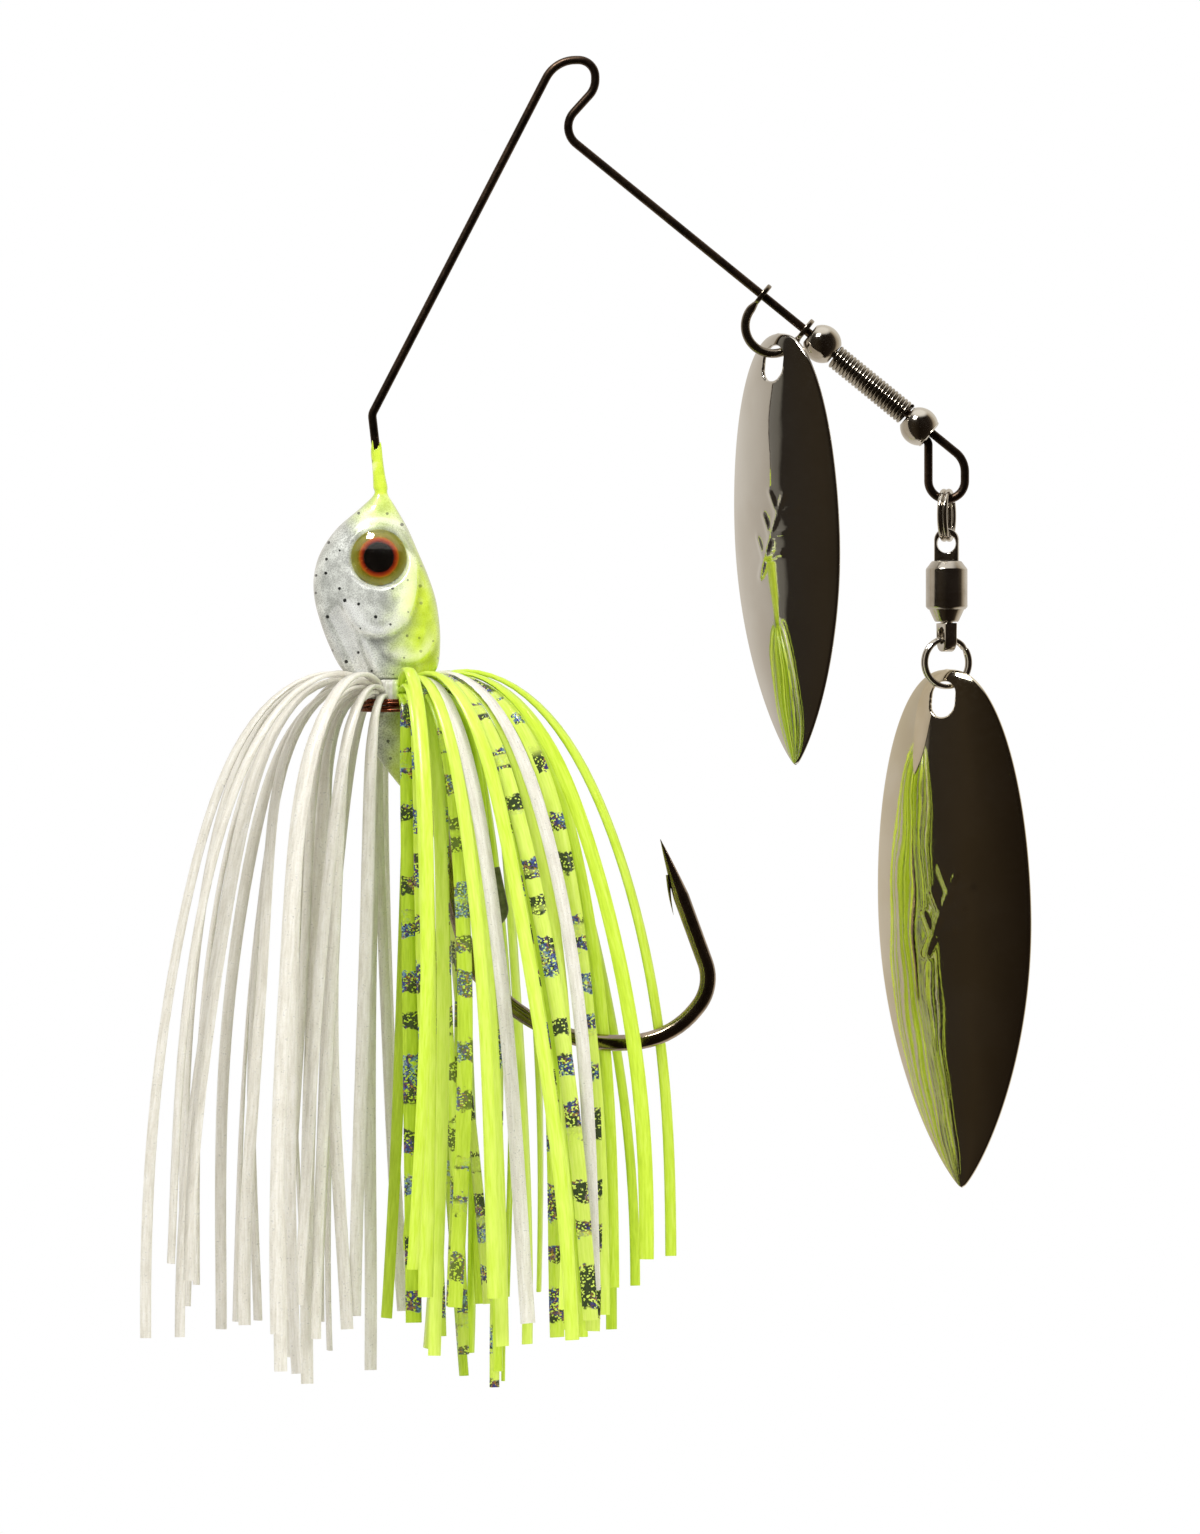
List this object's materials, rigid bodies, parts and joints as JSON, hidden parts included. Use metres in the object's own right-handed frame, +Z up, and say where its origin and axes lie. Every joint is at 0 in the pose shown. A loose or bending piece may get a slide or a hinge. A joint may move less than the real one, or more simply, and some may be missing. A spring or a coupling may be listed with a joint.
{
  "type": "tandem spinnerbait fishing lure",
  "caption": "Safety-pin style fishing lure: painted head with skirt and single hook, bent wire arm with a clevis-hung leaf blade, and a second leaf blade on a ball-bearing swivel.",
  "frame": {"origin": "centre of the line-tie bend in the wire, where the lure hangs", "axes": "+Z up along the line's pull, +X from the head towards the blades, -Y towards the near cheek"},
  "size_m": [0.0931, 0.0476, 0.1403],
  "materials": {
    "bronze_wire": "satin bronze-brown spring wire",
    "head_paint": "pearl white belly blending to chartreuse back, glossy",
    "eye_foil": "red-gold foil with a black pupil",
    "eye_resin": "clear cast resin",
    "black_nickel": "polished black nickel",
    "keeper_wire": "dark olive",
    "skirt_core": "pinched silicone",
    "silicone_pearl": "pearl translucent silicone",
    "silicone_chartreuse": "translucent chartreuse silicone",
    "silicone_flake": "chartreuse silicone printed with holographic flake",
    "tie_copper": "annealed red copper wire",
    "nickel": "bright nickel plate",
    "blade_nickel": "polished nickel plate",
    "blade_nickel_warm": "polished pale-gold nickel plate",
    "bearing_steel": "ground steel balls"
  },
  "bodies": {
    "lure_frame": {"wire_frame": "bronze_wire", "head": "head_paint", "eye_foil_near": "eye_foil", "eye_foil_far": "eye_foil", "eye_dome_near": "eye_resin", "eye_dome_far": "eye_resin", "hook": "black_nickel", "trailer_keeper": "keeper_wire", "skirt_collar": "skirt_core", "skirt_pearl": "silicone_pearl", "skirt_chartreuse": "silicone_chartreuse", "skirt_flake": "silicone_flake", "tie_wire": "tie_copper"},
    "lower_bead": {"bead_lower": "nickel"},
    "spacer": {"spacer_spring": "nickel"},
    "upper_bead": {"bead_upper": "nickel"},
    "clevis_body": {"clevis": "black_nickel"},
    "front_blade": {"blade_small": "blade_nickel"},
    "upper_ring": {"ring_upper": "nickel"},
    "swivel_body": {"swivel_upper_eye": "nickel", "swivel_barrel": "nickel", "swivel_cap": "nickel"},
    "ball_race": {"bearing_balls": "bearing_steel"},
    "swivel_rotor": {"swivel_lower_eye": "nickel"},
    "lower_ring": {"ring_lower": "nickel"},
    "rear_blade": {"blade_large": "blade_nickel_warm"}
  },
  "joints": [
    {"name": "stack_slide", "type": "slide", "parent": "lure_frame", "child": "lower_bead", "axis": [-0.7757, 0, 0.6311], "range_m": [0, 0.008]},
    {"name": "spacer_spin", "type": "hinge", "parent": "lower_bead", "child": "spacer", "pos_m": [0.03076, 0, -0.03233], "axis": [0.7757, 0, -0.6311], "continuous": true},
    {"name": "upper_bead_slide", "type": "slide", "parent": "lower_bead", "child": "upper_bead", "axis": [-0.7757, 0, 0.6311], "range_m": [0, 0.006]},
    {"name": "clevis_spin", "type": "hinge", "parent": "upper_bead", "child": "clevis_body", "pos_m": [0.02155, 0, -0.02464], "axis": [0.7757, 0, -0.6311], "continuous": true},
    {"name": "front_blade_swing", "type": "hinge", "parent": "clevis_body", "child": "front_blade", "pos_m": [0.02051, 0, -0.02615], "axis": [0, 1, 0], "range_deg": [-12, 25]},
    {"name": "upper_ring_swing", "type": "hinge", "parent": "lure_frame", "child": "upper_ring", "pos_m": [0.03881, 0, -0.04438], "axis": [1, 0, 0], "range_deg": [-45, 45]},
    {"name": "swivel_tilt", "type": "hinge", "parent": "upper_ring", "child": "swivel_body", "pos_m": [0.03881, 0, -0.04862], "axis": [0.1392, 0.9903, 0], "range_deg": [-30, 12]},
    {"name": "swivel_spin", "type": "hinge", "parent": "swivel_body", "child": "swivel_rotor", "pos_m": [0.03881, 0, -0.05465], "axis": [0, 0, 1], "continuous": true},
    {"name": "ball_orbit", "type": "hinge", "parent": "swivel_body", "child": "ball_race", "pos_m": [0.03881, 0, -0.05465], "axis": [0, 0, 1], "continuous": true},
    {"name": "lower_ring_swing", "type": "hinge", "parent": "swivel_rotor", "child": "lower_ring", "pos_m": [0.03881, 0, -0.05875], "axis": [0.9272, 0.3746, 0], "range_deg": [-40, 40]},
    {"name": "rear_blade_sway", "type": "hinge", "parent": "lower_ring", "child": "rear_blade", "pos_m": [0.03855, 0, -0.065], "axis": [0.5446, 0.8387, 0], "range_deg": [-15, 15]}
  ],
  "couplings": [
    {"joint": "ball_orbit", "follows": "swivel_spin", "ratio": 0.5}
  ]
}
